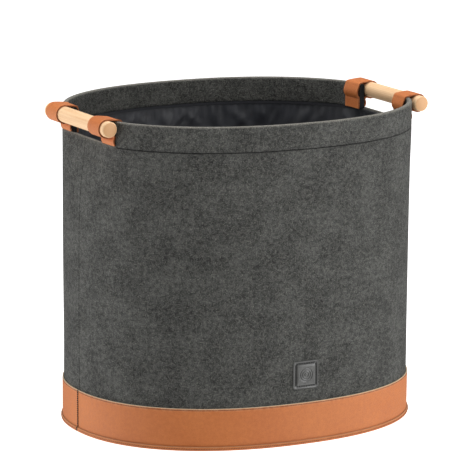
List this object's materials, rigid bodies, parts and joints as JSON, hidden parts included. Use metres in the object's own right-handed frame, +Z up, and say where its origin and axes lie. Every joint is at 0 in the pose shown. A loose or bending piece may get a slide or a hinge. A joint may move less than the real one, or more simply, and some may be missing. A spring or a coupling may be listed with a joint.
{
  "type": "felt log basket",
  "caption": "Oval felt basket for firewood with a leather foot band, a hanging lining and a wooden bar handle held in leather loops at each short end.",
  "frame": {"origin": "centre of the underside, on the surface the basket stands on", "axes": "+X along the oval's long axis towards the right handle, +Y along its short axis towards the back, +Z up"},
  "size_m": [0.52, 0.408, 0.4543],
  "materials": {
    "felt": "pressed wool felt, charcoal heather",
    "tan_leather": "smooth tan leather, fine grain",
    "base_cloth": "woven black cloth",
    "board": "plain hardboard",
    "lining": "dark woven nylon",
    "binding_tape": "black grosgrain tape",
    "patch": "grey leather, stitched edge",
    "beech": "sanded beech, clear matt finish"
  },
  "bodies": {
    "basket": {"felt_body_front": "felt", "felt_body_back": "felt", "collar_front": "felt", "collar_back": "felt", "leather_band_front": "tan_leather", "leather_band_back": "tan_leather", "base_welt": "tan_leather", "base_cloth": "base_cloth", "base_board": "board", "lining_wall": "lining", "lining_floor": "lining", "lining_binding": "binding_tape", "label_patch": "patch", "strap_left_front": "tan_leather", "strap_left_back": "tan_leather", "strap_right_front": "tan_leather", "strap_right_back": "tan_leather"},
    "left_bar": {"dowel_left": "beech"},
    "right_bar": {"dowel_right": "beech"}
  },
  "joints": [
    {"name": "left_bar_turn", "type": "hinge", "parent": "basket", "child": "left_bar", "pos_m": [-0.2467, 0, 0.441], "axis": [0, 1, 0], "continuous": true},
    {"name": "right_bar_turn", "type": "hinge", "parent": "basket", "child": "right_bar", "pos_m": [0.2467, 0, 0.441], "axis": [0, 1, 0], "continuous": true}
  ]
}
